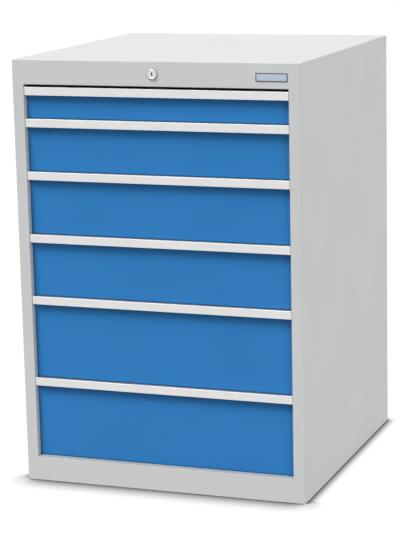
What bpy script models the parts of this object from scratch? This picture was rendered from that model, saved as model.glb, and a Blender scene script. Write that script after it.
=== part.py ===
"""An industrial drawer cabinet: a welded sheet-steel housing, six full-extension drawers and one lock.

Metres, +Z up. The front faces -Y, and +X is on the right of someone who stands in front of it.
The origin is on the floor, at the centre of the housing's footprint.
"""

import math

import bmesh
import bpy
from mathutils import Vector

# The housing, a box of folded sheet. Stiles, top rail and sill frame the front opening.
WIDTH = 0.705
DEPTH = 0.736
HEIGHT = 1.019
SHEET = 0.0015
BEND_RADIUS = 0.0022
BEND_STEPS = 3
STILE_WIDTH = 0.028
TOP_RAIL_HEIGHT = 0.058
SILL_HEIGHT = 0.0595
FRAME_RETURN = 0.016
BACK_FLANGE = 0.025
FOOT_FLANGE = 0.020
BACK_PANEL_LIFT = 0.002

# Gaps between pieces that rest on each other and between pieces that slide, and how far shapes
# reach past each other where one is cut from the other or joined to it.
SEAT_GAP = 0.0003
RUNNING_GAP = 0.0004
CUT_OVERRUN = 0.002
JOIN_OVERLAP = 0.0005

# The drawer stack, from the top down. Each drawer's height is a whole number of grid steps.
DRAWER_STEPS = (3, 5, 6, 6, 8, 8)
TOP_SLIT = 0.006
STACK_DROP = 0.0045

# Drawer fronts: folded pans, set back in the opening.
FRONT_RECESS = 0.0140
FRONT_THICKNESS = 0.0098
FRONT_SHEET = 0.0012
FRONT_SIDE_GAP = 0.001
FRONT_GAP = 0.0009
FRONT_LAP = 0.010

# Grip strips: a flat profile over the top edge of each front, with a finger gap behind its face.
GRIP_SETBACK = 0.002
GRIP_HEIGHT = 0.0194
GRIP_WALL = 0.0018
GRIP_SEAT = 0.0078
GRIP_BEAD = 0.0012
GRIP_BEAD_HEIGHT = 0.0030
GRIP_ROUNDING = 0.0010

# Drawer boxes: open trays with a hemmed rim.
BOX_SHEET = 0.0010
BOX_SIDE_SPACE = 0.0235
BOX_REAR_SPACE = 0.1099
BOX_LIFT = 0.009
BOX_HEADROOM = 0.019
HEM_SHEET = 0.0010
HEM_HEIGHT = 0.010

# Telescopic rails: three channels, each running inside the next.
RAIL_SHEET = 0.0015
RAIL_RISE = 0.018
RAIL_SETBACK = 0.001
RAIL_TAIL = 0.0387
DRAWER_RAIL_HEIGHT = 0.0242
DRAWER_RAIL_DEPTH = 0.011
MIDDLE_RAIL_DEPTH = 0.0115
MIDDLE_RAIL_INSET = 0.007
CASE_RAIL_DEPTH = 0.0165

# Uprights: channels that carry the case rails, with one slot for each grid step.
UPRIGHT_WIDTH = 0.030
UPRIGHT_SETBACK = 0.012
SLOT_WIDTH = 0.004
SLOT_HEIGHT = 0.014

# Lock barrel, plug and nut.
LOCK_DROP = 0.0285
COLLAR_RADIUS = 0.012
COLLAR_PROUD = 0.004
COLLAR_CHAMFER = 0.0012
BARREL_RADIUS = 0.0093
BARREL_DEPTH = 0.026
PLUG_RADIUS = 0.0070
PLUG_RECESS = 0.0005
PLUG_TAIL = 0.004
KEYHOLE_WIDTH = 0.0036
KEYHOLE_HEIGHT = 0.0090
KEYHOLE_DEPTH = 0.0080
NUT_RADIUS = 0.0135
NUT_THICKNESS = 0.004
NUT_SIDES = 6
ROUND_STEPS = 32

# Lock shaft: it turns with the plug, and its crank pin moves the lock bar.
SHAFT_RADIUS = 0.004
SHAFT_STEPS = 16
CRANK_THROW = 0.008
CRANK_ANGLE = math.radians(45)
CRANK_WIDTH = 0.012
CRANK_THICKNESS = 0.003
PIN_RADIUS = 0.0025
PIN_END = 0.001
BRACKET_SHEET = 0.002
BRACKET_WIDTH = 0.040
BRACKET_FLANGE = 0.030
BRACKET_DEPTH_BELOW_SHAFT = 0.012
BRACKET_GAP = 0.002

# Lock bar: its hooks drop behind the drawers' back walls. Two guides on the back panel hold it.
BAR_WIDTH = 0.024
BAR_THICKNESS = 0.002
BAR_STANDOFF = 0.012
BAR_TOP_MARGIN = 0.008
BAR_END = 0.020
HOOK_REACH = 0.008
HOOK_THICKNESS = 0.002
HOOK_CLEARANCE = 0.004
HOOK_DROP = 0.012
GUIDE_SHEET = 0.0015
GUIDE_HEIGHT = 0.030
GUIDE_WIDTH = 0.060
GUIDE_FLANGE = 0.018
STUD_RADIUS = 0.003
STUD_HEAD_RADIUS = 0.006
STUD_HEAD_THICKNESS = 0.002

# Nameplate: a bare plate with a raised border.
PLATE_WIDTH = 0.0755
PLATE_HEIGHT = 0.0196
PLATE_THICKNESS = 0.0012
PLATE_BORDER = 0.0020
PLATE_RELIEF = 0.0004
PLATE_EDGE = 0.0012
PLATE_DROP = 0.0223

SHARP_ANGLE = math.radians(40)

# Places that several pieces share
FRONT = -DEPTH / 2
BACK = DEPTH / 2
SIDE = WIDTH / 2
OPENING_SIDE = SIDE - STILE_WIDTH
OPENING_TOP = HEIGHT - TOP_RAIL_HEIGHT
UNDER_TOP = HEIGHT - SHEET - SEAT_GAP
BACK_PANEL_BACK = BACK - SHEET - SEAT_GAP
BACK_PANEL_FRONT = BACK_PANEL_BACK - SHEET

STACK_TOP = OPENING_TOP - TOP_SLIT
STACK_BOTTOM = SILL_HEIGHT - STACK_DROP
GRID = (STACK_TOP - STACK_BOTTOM) / sum(DRAWER_STEPS)

FRONT_SIDE = OPENING_SIDE - FRONT_SIDE_GAP
FRONT_FACE = FRONT + FRONT_RECESS
FRONT_BACK = FRONT_FACE + FRONT_THICKNESS
BOX_SIDE = OPENING_SIDE - BOX_SIDE_SPACE
BOX_FRONT = FRONT_BACK + SEAT_GAP
BOX_BACK = BACK - BOX_REAR_SPACE

RAIL_FRONT = FRONT_BACK + RAIL_SETBACK
RAIL_BACK = BOX_BACK + RAIL_TAIL
CASE_RAIL_SIDE = OPENING_SIDE - SEAT_GAP
MIDDLE_RAIL_SIDE = CASE_RAIL_SIDE - RAIL_SHEET - MIDDLE_RAIL_INSET
MIDDLE_RAIL_HEIGHT = DRAWER_RAIL_HEIGHT + 2 * (RUNNING_GAP + RAIL_SHEET)
CASE_RAIL_HEIGHT = MIDDLE_RAIL_HEIGHT + 2 * (RUNNING_GAP + RAIL_SHEET)

LOCK_HEIGHT = HEIGHT - LOCK_DROP
BARREL_BACK = FRONT + BARREL_DEPTH
SHAFT_FRONT = BARREL_BACK + PLUG_TAIL + SEAT_GAP
BAR_FRONT = BOX_BACK + BAR_STANDOFF
BAR_BACK = BAR_FRONT + BAR_THICKNESS
CRANK_BACK = BAR_FRONT - RUNNING_GAP
CRANK_FRONT = CRANK_BACK - CRANK_THICKNESS
PIN_SIDE = CRANK_THROW * math.cos(CRANK_ANGLE)
PIN_RISE = CRANK_THROW * math.sin(CRANK_ANGLE)
BAR_TRAVEL = 2 * PIN_RISE
GUIDE_FRONT = BAR_BACK + SEAT_GAP


def clear_scene():
    for thing in list(bpy.data.objects):
        bpy.data.objects.remove(thing, do_unlink=True)


def linear(channel):
    """The linear value of an 8-bit colour channel."""
    share = channel / 255
    return share / 12.92 if share <= 0.04045 else ((share + 0.055) / 1.055) ** 2.4


def finish(name, colour, roughness, metallic):
    material = bpy.data.materials.new(name)
    material.use_nodes = True
    shader = material.node_tree.nodes["Principled BSDF"]
    red, green, blue = (linear(channel) for channel in colour)
    shader.inputs["Base Color"].default_value = (red, green, blue, 1)
    shader.inputs["Roughness"].default_value = roughness
    shader.inputs["Metallic"].default_value = metallic
    return material


def finishes():
    return {
        "housing_paint": finish("housing_paint", (203, 205, 204), 0.45, 0.0),
        "front_paint": finish("front_paint", (49, 122, 186), 0.42, 0.0),
        "grip_aluminium": finish("grip_aluminium", (224, 223, 222), 0.38, 0.6),
        "zinc_steel": finish("zinc_steel", (172, 175, 178), 0.35, 1.0),
        "lock_nickel": finish("lock_nickel", (196, 197, 196), 0.2, 1.0),
        "plate_border": finish("plate_border", (178, 194, 212), 0.4, 0.3),
    }


def corner(plane, first, second, level):
    """A point in an outline. The plane is named after the axis that it stands across."""
    places = {"x": (level, first, second), "y": (first, level, second), "z": (first, second, level)}
    return Vector(places[plane])


def pulled(outline, plane, start, end):
    """A closed solid: an outline pulled along the axis that its plane is named after."""
    solid = bmesh.new()
    near, far = (
        [solid.verts.new(corner(plane, first, second, level)) for first, second in outline]
        for level in (start, end)
    )
    solid.faces.new(near)
    solid.faces.new(far)
    for index in range(len(outline)):
        solid.faces.new((near[index - 1], near[index], far[index], far[index - 1]))
    bmesh.ops.recalc_face_normals(solid, faces=solid.faces)
    return solid


def ring(plane, first_range, second_range, level):
    """Four corners of a rectangle across the plane's axis."""
    (low, high), (bottom, top) = first_range, second_range
    places = ((low, bottom), (high, bottom), (high, top), (low, top))
    return [corner(plane, first, second, level) for first, second in places]


def skinned(rings):
    """A closed solid: each ring of corners is joined to the next one, and the end rings are capped."""
    solid = bmesh.new()
    loops = [[solid.verts.new(point) for point in points] for points in rings]
    solid.faces.new(loops[0])
    solid.faces.new(loops[-1])
    for near, far in zip(loops, loops[1:]):
        for index in range(len(near)):
            solid.faces.new((near[index - 1], near[index], far[index], far[index - 1]))
    bmesh.ops.recalc_face_normals(solid, faces=solid.faces)
    return solid


def block(x_range, y_range, z_range):
    return skinned([ring("z", x_range, y_range, level) for level in z_range])


def turned(profile, steps, bored=False):
    """A closed solid: (radius, y) pairs turned about the Y axis. A bored one's profile is a closed loop."""
    solid = bmesh.new()
    loops = []
    for radius, depth in profile:
        turns = [math.tau * step / steps for step in range(steps)]
        loops.append([
            solid.verts.new((radius * math.cos(turn), depth, radius * math.sin(turn))) for turn in turns
        ])
    pairs = list(zip(loops, loops[1:]))
    if bored:
        pairs.append((loops[-1], loops[0]))
    else:
        solid.faces.new(loops[0])
        solid.faces.new(loops[-1])
    for near, far in pairs:
        for index in range(steps):
            solid.faces.new((near[index - 1], near[index], far[index], far[index - 1]))
    bmesh.ops.recalc_face_normals(solid, faces=solid.faces)
    return solid


def moved(solid, offset):
    bmesh.ops.translate(solid, verts=solid.verts, vec=Vector(offset))
    return solid


def folded(path, thickness, radius):
    """The outline of a bent sheet. The path runs along its outer face and turns left at each fold."""
    corners = [Vector(point) for point in path]
    outer, inner = [], []
    start = (corners[1] - corners[0]).normalized()
    outer.append(corners[0])
    inner.append(corners[0] + thickness * start.orthogonal())
    for before, fold, after in zip(corners, corners[1:], corners[2:]):
        incoming = (fold - before).normalized()
        outgoing = (after - fold).normalized()
        centre = fold - radius * incoming + radius * incoming.orthogonal()
        for step in range(BEND_STEPS + 1):
            turn = math.pi / 2 * step / BEND_STEPS
            outward = incoming * math.sin(turn) - outgoing * math.cos(turn)
            outer.append(centre + radius * outward)
            inner.append(centre + (radius - thickness) * outward)
    end = (corners[-1] - corners[-2]).normalized()
    outer.append(corners[-1])
    inner.append(corners[-1] + thickness * end.orthogonal())
    return [tuple(point) for point in outer + inner[::-1]]


def channel(foot, web, bottom, top, thickness):
    """The outline of a channel: a web, and two flanges that reach from it to the foot."""
    inside = web + math.copysign(thickness, foot - web)
    return [
        (foot, bottom),
        (web, bottom),
        (web, top),
        (foot, top),
        (foot, top - thickness),
        (inside, top - thickness),
        (inside, bottom + thickness),
        (foot, bottom + thickness),
    ]


def arc(centre, radius, start, end, steps):
    """Points on an arc in an outline, from one angle to another."""
    turns = [start + (end - start) * step / steps for step in range(steps + 1)]
    return [(centre[0] + radius * math.cos(turn), centre[1] + radius * math.sin(turn)) for turn in turns]


def mesh_of(name, solid):
    mesh = bpy.data.meshes.new(name)
    solid.to_mesh(mesh)
    solid.free()
    mesh.shade_smooth()
    mesh.set_sharp_from_angle(angle=SHARP_ANGLE)
    return mesh


def piece(name, shape, material, parent):
    """An object that shows the shape, which is a new solid or the mesh of an equal piece."""
    mesh = shape if isinstance(shape, bpy.types.Mesh) else mesh_of(name, shape)
    if not mesh.materials:
        mesh.materials.append(material)
    thing = bpy.data.objects.new(name, mesh)
    thing.parent = parent
    bpy.context.scene.collection.objects.link(thing)
    return thing


def anchor(name, place=(0, 0, 0)):
    """An empty that carries the pieces of one body."""
    empty = bpy.data.objects.new(name, None)
    empty.location = place
    bpy.context.scene.collection.objects.link(empty)
    return empty


def combine(thing, helper_name, solid, operation):
    """Cuts a solid from a piece, or joins it on. The helper object isn't part of the cabinet."""
    helper = bpy.data.objects.new(helper_name, mesh_of(helper_name, solid))
    helper.parent = thing.parent
    helper.hide_render = True
    helper.display_type = "WIRE"
    bpy.context.scene.collection.objects.link(helper)
    modifier = thing.modifiers.new(helper_name, "BOOLEAN")
    modifier.operation = operation
    modifier.solver = "EXACT"
    modifier.object = helper


def together(solids):
    """Several separate solids as one, for a helper that cuts in many places."""
    gathered = solids[0]
    for solid in solids[1:]:
        mesh = bpy.data.meshes.new("gathered")
        solid.to_mesh(mesh)
        solid.free()
        gathered.from_mesh(mesh)
        bpy.data.meshes.remove(mesh)
    return gathered


def both_sides(low, high):
    return ((low, high), (-high, -low))


def side_panel(side, name, paint, cabinet):
    """Front stile, side wall and rear flange, in one folded sheet."""
    path = [
        (OPENING_SIDE, FRONT + FRAME_RETURN),
        (OPENING_SIDE, FRONT),
        (SIDE, FRONT),
        (SIDE, BACK),
        (SIDE - BACK_FLANGE, BACK),
    ]
    outline = [(side * x, y) for x, y in folded(path, SHEET, BEND_RADIUS)]
    piece(name, pulled(outline, "z", 0, UNDER_TOP), paint, cabinet)


def top_panel(paint, cabinet):
    """The top sheet, with the lock rail folded down in front and a flange at the back."""
    path = [
        (BACK, HEIGHT - BACK_FLANGE),
        (BACK, HEIGHT),
        (FRONT, HEIGHT),
        (FRONT, OPENING_TOP),
        (FRONT + FRAME_RETURN, OPENING_TOP),
    ]
    outline = folded(path, SHEET, BEND_RADIUS)
    thing = piece("top_panel", pulled(outline, "x", -SIDE, SIDE), paint, cabinet)
    under = HEIGHT - SHEET
    front_corners = [
        block(
            x_range,
            (FRONT - CUT_OVERRUN, FRONT + FRAME_RETURN + CUT_OVERRUN),
            (OPENING_TOP - CUT_OVERRUN, under),
        )
        for x_range in both_sides(OPENING_SIDE - SEAT_GAP, SIDE + CUT_OVERRUN)
    ]
    rear_corners = [
        block(
            x_range,
            (BACK - BEND_RADIUS, BACK + CUT_OVERRUN),
            (HEIGHT - BACK_FLANGE - CUT_OVERRUN, under),
        )
        for x_range in both_sides(SIDE - BACK_FLANGE - SEAT_GAP, SIDE + CUT_OVERRUN)
    ]
    combine(thing, "top_panel_corners", together(front_corners + rear_corners), "DIFFERENCE")
    hole = turned(
        [
            (BARREL_RADIUS + SEAT_GAP, FRONT - CUT_OVERRUN),
            (BARREL_RADIUS + SEAT_GAP, FRONT + SHEET + CUT_OVERRUN),
        ],
        ROUND_STEPS,
    )
    combine(thing, "lock_hole", moved(hole, (0, 0, LOCK_HEIGHT)), "DIFFERENCE")


def base_panel(paint, cabinet):
    """The floor of the cabinet, with the sill folded down in front and a flange at the back."""
    rear = BACK_PANEL_FRONT - SEAT_GAP
    path = [
        (rear - FOOT_FLANGE, 0),
        (rear, 0),
        (rear, SILL_HEIGHT),
        (FRONT, SILL_HEIGHT),
        (FRONT, 0),
        (FRONT + FOOT_FLANGE, 0),
    ]
    outline = folded(path, SHEET, BEND_RADIUS)
    side = OPENING_SIDE - SEAT_GAP
    piece("base_panel", pulled(outline, "x", -side, side), paint, cabinet)


def back_panel(paint, cabinet):
    side = SIDE - BEND_RADIUS - SEAT_GAP
    top = HEIGHT - BEND_RADIUS - SEAT_GAP
    sheet = block((-side, side), (BACK_PANEL_FRONT, BACK_PANEL_BACK), (BACK_PANEL_LIFT, top))
    piece("back_panel", sheet, paint, cabinet)


def upright(name, side, front, zinc, cabinet):
    """A channel behind the stile, open towards the side wall, with a row of slots for the case rails."""
    rear = front + UPRIGHT_WIDTH
    wall = SIDE - SHEET - SEAT_GAP
    path = [(wall, rear), (OPENING_SIDE, rear), (OPENING_SIDE, front), (wall, front)]
    outline = [(side * x, y) for x, y in folded(path, SHEET, BEND_RADIUS)]
    thing = piece(name, pulled(outline, "z", SEAT_GAP, UNDER_TOP), zinc, cabinet)
    middle = (front + rear) / 2
    across = sorted(side * x for x in (OPENING_SIDE - CUT_OVERRUN, OPENING_SIDE + SHEET + CUT_OVERRUN))
    slots = []
    for step in range(sum(DRAWER_STEPS)):
        height = STACK_BOTTOM + step * GRID + BOX_LIFT + RAIL_RISE
        slots.append(
            block(
                across,
                (middle - SLOT_WIDTH / 2, middle + SLOT_WIDTH / 2),
                (height - SLOT_HEIGHT / 2, height + SLOT_HEIGHT / 2),
            )
        )
    combine(thing, name + "_slots", together(slots), "DIFFERENCE")


def uprights(zinc, cabinet):
    places = {
        "front": FRONT + FRAME_RETURN + UPRIGHT_SETBACK,
        "rear": RAIL_BACK - UPRIGHT_SETBACK - UPRIGHT_WIDTH,
    }
    for place, front in places.items():
        upright(f"upright_{place}_left", -1, front, zinc, cabinet)
        upright(f"upright_{place}_right", 1, front, zinc, cabinet)


def front_pan(bottom, top):
    """A drawer front: a folded pan whose rear flanges lap the box's front wall."""

    def inset(across, up, level):
        return ring("y", (-FRONT_SIDE + across, FRONT_SIDE - across), (bottom + up, top - up), level)

    side_flange = FRONT_SIDE - BOX_SIDE + FRONT_LAP
    level_flange = BOX_LIFT + FRONT_LAP
    return skinned([
        inset(0, 0, FRONT_FACE),
        inset(0, 0, FRONT_BACK),
        inset(side_flange, level_flange, FRONT_BACK),
        inset(side_flange, level_flange, FRONT_BACK - FRONT_SHEET),
        inset(FRONT_SHEET, FRONT_SHEET, FRONT_BACK - FRONT_SHEET),
        inset(FRONT_SHEET, FRONT_SHEET, FRONT_FACE + FRONT_SHEET),
    ])


def grip_strip():
    """A drawer's grip: a flange over the front, a face hanging before it, and a bead along its foot."""
    face = FRONT + GRIP_SETBACK
    inside = face + GRIP_WALL
    rear = FRONT_FACE + GRIP_SEAT
    rounding = arc(
        (face + GRIP_ROUNDING, -GRIP_ROUNDING), GRIP_ROUNDING, math.pi / 2, math.pi, BEND_STEPS
    )
    outline = [
        (face, -GRIP_HEIGHT),
        (inside + GRIP_BEAD, -GRIP_HEIGHT),
        (inside + GRIP_BEAD, -GRIP_HEIGHT + GRIP_BEAD_HEIGHT),
        (inside, -GRIP_HEIGHT + GRIP_BEAD_HEIGHT + GRIP_BEAD),
        (inside, -GRIP_WALL),
        (rear, -GRIP_WALL),
        (rear, 0),
        *rounding,
    ]
    return pulled(outline, "x", -FRONT_SIDE, FRONT_SIDE)


def box_tray(height):
    """A drawer's open box. Its floor is at the height zero."""
    sides = (-BOX_SIDE, BOX_SIDE)
    ends = (BOX_FRONT, BOX_BACK)

    def inset(distance, level):
        narrowed = [(low + distance, high - distance) for low, high in (sides, ends)]
        return ring("z", *narrowed, level)

    hem = BOX_SHEET + HEM_SHEET
    return skinned([
        inset(0, 0),
        inset(0, height),
        inset(hem, height),
        inset(hem, height - HEM_HEIGHT),
        inset(BOX_SHEET, height - HEM_HEIGHT),
        inset(BOX_SHEET, BOX_SHEET),
    ])


def drawer_runners():
    """The two channels on the sides of a drawer's box. Their middle is at the height zero."""
    half = DRAWER_RAIL_HEIGHT / 2
    web = BOX_SIDE - JOIN_OVERLAP
    foot = BOX_SIDE + DRAWER_RAIL_DEPTH
    outline = channel(foot, web, -half, half, RAIL_SHEET)
    mirrored = [(-x, z) for x, z in outline]
    return together([pulled(points, "y", BOX_FRONT, BOX_BACK) for points in (outline, mirrored)])


def rail(side, web, depth, height):
    """A channel that opens towards the drawer. Its middle is at the height zero."""
    outline = channel(web - depth, web, -height / 2, height / 2, RAIL_SHEET)
    return pulled([(side * x, z) for x, z in outline], "y", RAIL_FRONT, RAIL_BACK)


def drawer(number, bottom, steps, materials, shared):
    """One drawer with its rails. The bottom is that of its share of the stack."""
    name = f"drawer_{number}"
    height = steps * GRID
    box_height = height - BOX_LIFT - BOX_HEADROOM
    front_bottom = max(bottom, SILL_HEIGHT) + FRONT_GAP - bottom
    moving = anchor(name, (0, 0, bottom))

    front = front_pan(front_bottom, height - GRIP_WALL - SEAT_GAP)
    piece(f"{name}_front", front, materials["front_paint"], moving)
    grip = piece(f"{name}_grip", shared["grip"], materials["grip_aluminium"], moving)
    grip.location.z = height

    box = piece(f"{name}_box", box_tray(box_height), materials["housing_paint"], moving)
    box.location.z = BOX_LIFT
    runners = moved(drawer_runners(), (0, 0, BOX_LIFT + RAIL_RISE))
    combine(box, f"{name}_runners", runners, "UNION")

    centre = bottom + BOX_LIFT + RAIL_RISE
    middle = anchor(f"{name}_middle", (0, 0, centre))
    case = anchor(f"{name}_case", (0, 0, centre))
    for side in ("left", "right"):
        piece(f"{name}_middle_rail_{side}", shared[f"middle_{side}"], materials["zinc_steel"], middle)
        piece(f"{name}_case_rail_{side}", shared[f"case_{side}"], materials["zinc_steel"], case)


def shared_meshes():
    """Meshes of the pieces that are equal on all the drawers."""
    meshes = {"grip": mesh_of("grip", grip_strip())}
    for side, sign in (("left", -1), ("right", 1)):
        middle = rail(sign, MIDDLE_RAIL_SIDE, MIDDLE_RAIL_DEPTH, MIDDLE_RAIL_HEIGHT)
        case = rail(sign, CASE_RAIL_SIDE, CASE_RAIL_DEPTH, CASE_RAIL_HEIGHT)
        meshes[f"middle_{side}"] = mesh_of(f"middle_{side}", middle)
        meshes[f"case_{side}"] = mesh_of(f"case_{side}", case)
    return meshes


def stack():
    """Each drawer's number, the bottom of its share of the stack, and its steps, from the top down."""
    bottom = STACK_TOP
    places = []
    for number, steps in enumerate(DRAWER_STEPS, start=1):
        bottom -= steps * GRID
        places.append((number, bottom, steps))
    return places


def drawers(materials):
    shared = shared_meshes()
    for number, bottom, steps in stack():
        drawer(number, bottom, steps, materials, shared)


def lock_barrel(nickel, cabinet):
    """The collar outside the rail, and the bored barrel through it."""
    face = FRONT - COLLAR_PROUD
    bore = PLUG_RADIUS + SEAT_GAP
    profile = [
        (bore, face),
        (COLLAR_RADIUS - COLLAR_CHAMFER, face),
        (COLLAR_RADIUS, face + COLLAR_CHAMFER),
        (COLLAR_RADIUS, FRONT - SEAT_GAP),
        (BARREL_RADIUS, FRONT - SEAT_GAP),
        (BARREL_RADIUS, BARREL_BACK),
        (bore, BARREL_BACK),
    ]
    thing = piece("lock_barrel", turned(profile, ROUND_STEPS, bored=True), nickel, cabinet)
    thing.location.z = LOCK_HEIGHT


def lock_nut(zinc, cabinet):
    """The hexagonal nut that clamps the barrel to the rail."""
    hexagon = arc((0, 0), NUT_RADIUS, 0, math.tau, NUT_SIDES)[:-1]
    front = FRONT + SHEET + SEAT_GAP
    rear = front + NUT_THICKNESS
    lock = anchor("lock_axis", (0, 0, LOCK_HEIGHT))
    lock.parent = cabinet
    thing = piece("lock_nut", pulled(hexagon, "y", front, rear), zinc, lock)
    hole_radius = BARREL_RADIUS + SEAT_GAP
    profile = [(hole_radius, front - CUT_OVERRUN), (hole_radius, rear + CUT_OVERRUN)]
    combine(thing, "nut_hole", turned(profile, ROUND_STEPS), "DIFFERENCE")


def lock_plug(nickel, turning):
    """The plug that the key turns. Its keyhole stands upright at rest."""
    face = FRONT - COLLAR_PROUD + PLUG_RECESS
    profile = [(PLUG_RADIUS, face), (PLUG_RADIUS, BARREL_BACK + PLUG_TAIL)]
    thing = piece("lock_plug", turned(profile, ROUND_STEPS), nickel, turning)
    keyhole = block(
        (-KEYHOLE_WIDTH / 2, KEYHOLE_WIDTH / 2),
        (face - CUT_OVERRUN, face + KEYHOLE_DEPTH),
        (-KEYHOLE_HEIGHT / 2, KEYHOLE_HEIGHT / 2),
    )
    combine(thing, "keyhole", keyhole, "DIFFERENCE")


def crank_arm():
    """A flat link with round ends, from the shaft's axis to the pin."""
    half = CRANK_WIDTH / 2
    outer_end = arc(
        (PIN_SIDE, PIN_RISE), half, CRANK_ANGLE - math.pi / 2, CRANK_ANGLE + math.pi / 2, SHAFT_STEPS // 2
    )
    inner_end = arc(
        (0, 0), half, CRANK_ANGLE + math.pi / 2, CRANK_ANGLE + 3 * math.pi / 2, SHAFT_STEPS // 2
    )
    return pulled(outer_end + inner_end, "y", CRANK_FRONT, CRANK_BACK)


def lock_shaft(zinc, turning):
    """The rod behind the plug, with the crank arm and its pin at the rear end."""
    rod = [(SHAFT_RADIUS, SHAFT_FRONT), (SHAFT_RADIUS, CRANK_FRONT + JOIN_OVERLAP)]
    thing = piece("lock_shaft", turned(rod, SHAFT_STEPS), zinc, turning)
    combine(thing, "crank_arm", crank_arm(), "UNION")
    pin = turned([(PIN_RADIUS, CRANK_BACK - JOIN_OVERLAP), (PIN_RADIUS, BAR_BACK + PIN_END)], SHAFT_STEPS)
    combine(thing, "crank_pin", moved(pin, (PIN_SIDE, 0, PIN_RISE)), "UNION")


def shaft_bracket(zinc, cabinet):
    """An angle under the top panel, with a hole that carries the shaft's rear end."""
    rear = CRANK_FRONT - BRACKET_GAP
    path = [
        (rear, LOCK_HEIGHT - BRACKET_DEPTH_BELOW_SHAFT),
        (rear, UNDER_TOP),
        (rear - BRACKET_FLANGE, UNDER_TOP),
    ]
    outline = folded(path, BRACKET_SHEET, 2 * BRACKET_SHEET)
    half = BRACKET_WIDTH / 2
    thing = piece("lock_shaft_bracket", pulled(outline, "x", -half, half), zinc, cabinet)
    hole_radius = SHAFT_RADIUS + RUNNING_GAP
    profile = [(hole_radius, rear - BRACKET_SHEET - CUT_OVERRUN), (hole_radius, rear + CUT_OVERRUN)]
    hole = moved(turned(profile, SHAFT_STEPS), (0, 0, LOCK_HEIGHT))
    combine(thing, "shaft_hole", hole, "DIFFERENCE")


def hook_heights():
    """The height of the top of each drawer's back wall, from the top down."""
    return [bottom + steps * GRID - BOX_HEADROOM for number, bottom, steps in stack()]


def guide_heights():
    """Each guide is midway between two hooks: one pair at the top of the bar, one at its foot."""
    arms = [wall_top + HOOK_CLEARANCE + HOOK_DROP for wall_top in hook_heights()]
    return {"upper": (arms[0] + arms[1]) / 2, "lower": (arms[-2] + arms[-1]) / 2}


def lock_bar(zinc, locking):
    """A flat bar with a hook for each drawer, seen from the side as one comb-like outline."""
    wall_tops = hook_heights()
    top = LOCK_HEIGHT + PIN_RISE + BAR_TOP_MARGIN
    foot = wall_tops[-1] - BAR_END
    tip_back = BOX_BACK - BOX_SHEET - HEM_SHEET - HOOK_REACH
    tip_front = tip_back - HOOK_THICKNESS
    outline = [(BAR_BACK, top), (BAR_FRONT, top)]
    for wall_top in wall_tops:
        tip = wall_top + HOOK_CLEARANCE
        under = tip + HOOK_DROP
        over = under + HOOK_THICKNESS
        outline += [
            (BAR_FRONT, over),
            (tip_front, over),
            (tip_front, tip),
            (tip_back, tip),
            (tip_back, under),
            (BAR_FRONT, under),
        ]
    outline += [(BAR_FRONT, foot), (BAR_BACK, foot)]
    half = BAR_WIDTH / 2
    thing = piece("lock_bar", pulled(outline, "x", -half, half), zinc, locking)
    combine(thing, "lock_bar_slots", together(bar_slots()), "DIFFERENCE")


def bar_slots():
    """Holes in the lock bar: a level one for the crank pin, and an upright one for each guide's stud."""
    through = (BAR_FRONT - CUT_OVERRUN, BAR_BACK + CUT_OVERRUN)
    pin = PIN_RADIUS + RUNNING_GAP
    pin_height = LOCK_HEIGHT + PIN_RISE
    slots = [
        block(
            (PIN_SIDE - pin - RUNNING_GAP, CRANK_THROW + pin),
            through,
            (pin_height - pin, pin_height + pin),
        )
    ]
    stud = STUD_RADIUS + RUNNING_GAP
    for height in guide_heights().values():
        slots.append(block((-stud, stud), through, (height - stud, height + BAR_TRAVEL + stud)))
    return slots


def lock_guide(name, height, zinc, cabinet):
    """A hat-shaped bracket on the back panel, with a headed stud that the lock bar slides on."""
    seat = BACK_PANEL_FRONT - SEAT_GAP
    half = GUIDE_WIDTH / 2
    outer = half + GUIDE_FLANGE
    outline = [
        (-outer, seat),
        (-outer, seat - GUIDE_SHEET),
        (-half, seat - GUIDE_SHEET),
        (-half, GUIDE_FRONT),
        (half, GUIDE_FRONT),
        (half, seat - GUIDE_SHEET),
        (outer, seat - GUIDE_SHEET),
        (outer, seat),
        (half - GUIDE_SHEET, seat),
        (half - GUIDE_SHEET, GUIDE_FRONT + GUIDE_SHEET),
        (-half + GUIDE_SHEET, GUIDE_FRONT + GUIDE_SHEET),
        (-half + GUIDE_SHEET, seat),
    ]
    place = anchor(name + "_place", (0, 0, height))
    place.parent = cabinet
    hat = pulled(outline, "z", -GUIDE_HEIGHT / 2, GUIDE_HEIGHT / 2)
    thing = piece(name, hat, zinc, place)
    head_back = BAR_FRONT - SEAT_GAP
    head_front = head_back - STUD_HEAD_THICKNESS
    stud = turned(
        [
            (STUD_HEAD_RADIUS, head_front),
            (STUD_HEAD_RADIUS, head_back),
            (STUD_RADIUS, head_back),
            (STUD_RADIUS, GUIDE_FRONT + JOIN_OVERLAP),
        ],
        SHAFT_STEPS,
    )
    combine(thing, name + "_stud", stud, "UNION")


def nameplate(finish_of_plate, cabinet):
    """A bare plate: a raised border round a sunk field."""
    high_x = OPENING_SIDE - PLATE_EDGE
    high_z = HEIGHT - PLATE_DROP
    back = FRONT - SEAT_GAP
    face = back - PLATE_THICKNESS
    outer = ((high_x - PLATE_WIDTH, high_x), (high_z - PLATE_HEIGHT, high_z))
    field = [(low + PLATE_BORDER, high - PLATE_BORDER) for low, high in outer]
    plate = skinned([
        ring("y", *outer, back),
        ring("y", *outer, face),
        ring("y", *field, face),
        ring("y", *field, face + PLATE_RELIEF),
    ])
    piece("nameplate", plate, finish_of_plate, cabinet)


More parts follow.
